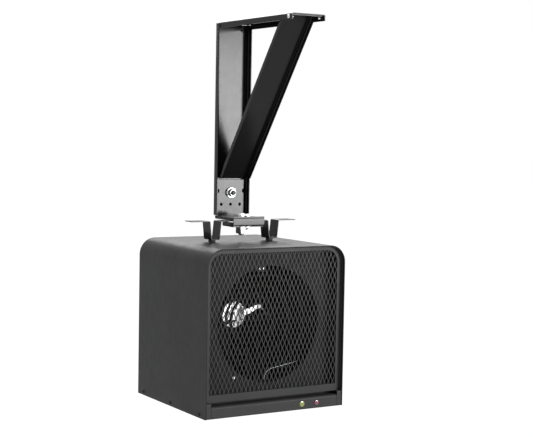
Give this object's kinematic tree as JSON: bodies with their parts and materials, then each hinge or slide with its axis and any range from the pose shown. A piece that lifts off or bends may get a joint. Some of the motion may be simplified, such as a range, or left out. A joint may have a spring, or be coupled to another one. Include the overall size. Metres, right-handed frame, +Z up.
{
  "type": "ceiling-hung fan heater",
  "caption": "Sheet-metal fan heater with an expanded-metal front, hung from a folded ceiling or wall bracket by a levelling saddle and a swivelling strip.",
  "frame": {"origin": "point on the bracket arm's ceiling face, straight above the swivel bolt", "axes": "+Z up, square to the ceiling face; -Y is the front, where the warm air leaves; +X is to the right seen from the front"},
  "size_m": [0.351, 0.4283, 0.848],
  "materials": {
    "bracket_black": "gloss black powder coat",
    "case_grey": "fine-textured charcoal grey powder coat",
    "inner_dark": "matt black paint",
    "zinc": "bright zinc plate",
    "bright_steel": "plain steel",
    "aluminium": "bright rolled aluminium",
    "rubber": "matt",
    "ceramic": "unglazed ceramic",
    "winding": "enamelled copper",
    "relay_plastic": "matt",
    "green_lens": "clear gloss",
    "red_lens": "clear gloss"
  },
  "bodies": {
    "bracket": {"arm": "bracket_black", "column": "bracket_black", "brace": "bracket_black", "brace_screw_left": "zinc", "brace_screw_right": "zinc", "level_bolt": "zinc", "level_washer": "zinc", "level_nut": "zinc"},
    "saddle": {"saddle": "bracket_black", "clamp_plate": "bracket_black", "swivel_washer": "zinc", "swivel_bolt": "zinc", "swivel_nut": "zinc", "lock_bolt": "zinc", "lock_nut": "zinc"},
    "heater": {"back_panel": "case_grey", "baffle": "inner_dark", "base_panel": "case_grey", "bearing_back": "bright_steel", "bearing_front": "bright_steel", "cable_gland": "zinc", "ceramic_block": "ceramic", "chamber_floor": "inner_dark", "control_strip": "case_grey", "element_1": "bright_steel", "element_2": "bright_steel", "element_3": "bright_steel", "element_comb_left": "bright_steel", "element_comb_right": "bright_steel", "front_frame": "case_grey", "grille": "case_grey", "hanger_screw_left": "zinc", "hanger_screw_right": "zinc", "hanger_strip": "bracket_black", "lens_green": "green_lens", "lens_red": "red_lens", "limit_thermostat": "bright_steel", "motor_back_cap": "aluminium", "motor_front_cap": "aluminium", "motor_shell": "bright_steel", "motor_strap_lower": "bright_steel", "motor_strap_upper": "bright_steel", "rear_guard": "inner_dark", "relay": "relay_plastic", "side_screw_left_1": "case_grey", "side_screw_left_2": "case_grey", "side_screw_left_3": "case_grey", "side_screw_right_1": "case_grey", "side_screw_right_2": "case_grey", "side_screw_right_3": "case_grey", "spacer_left": "rubber", "spacer_right": "rubber", "stator": "winding", "terminal_block": "ceramic", "wiring_cover": "case_grey", "wrap": "case_grey"},
    "fan": {"fan_wheel": "aluminium", "fan_boss": "bright_steel", "rotor": "bright_steel", "motor_shaft": "bright_steel"}
  },
  "joints": [
    {"name": "level", "type": "hinge", "parent": "bracket", "child": "saddle", "pos_m": [0, 0.05, -0.3823], "axis": [0, 1, 0], "range_deg": [-1.5, 1.5]},
    {"name": "swivel", "type": "hinge", "parent": "saddle", "child": "heater", "pos_m": [0, 0, -0.4345], "axis": [0, 0, 1], "range_deg": [-20, 20]},
    {"name": "fan_spin", "type": "hinge", "parent": "heater", "child": "fan", "pos_m": [0, 0.036, -0.6595], "axis": [0, 1, 0], "continuous": true}
  ]
}
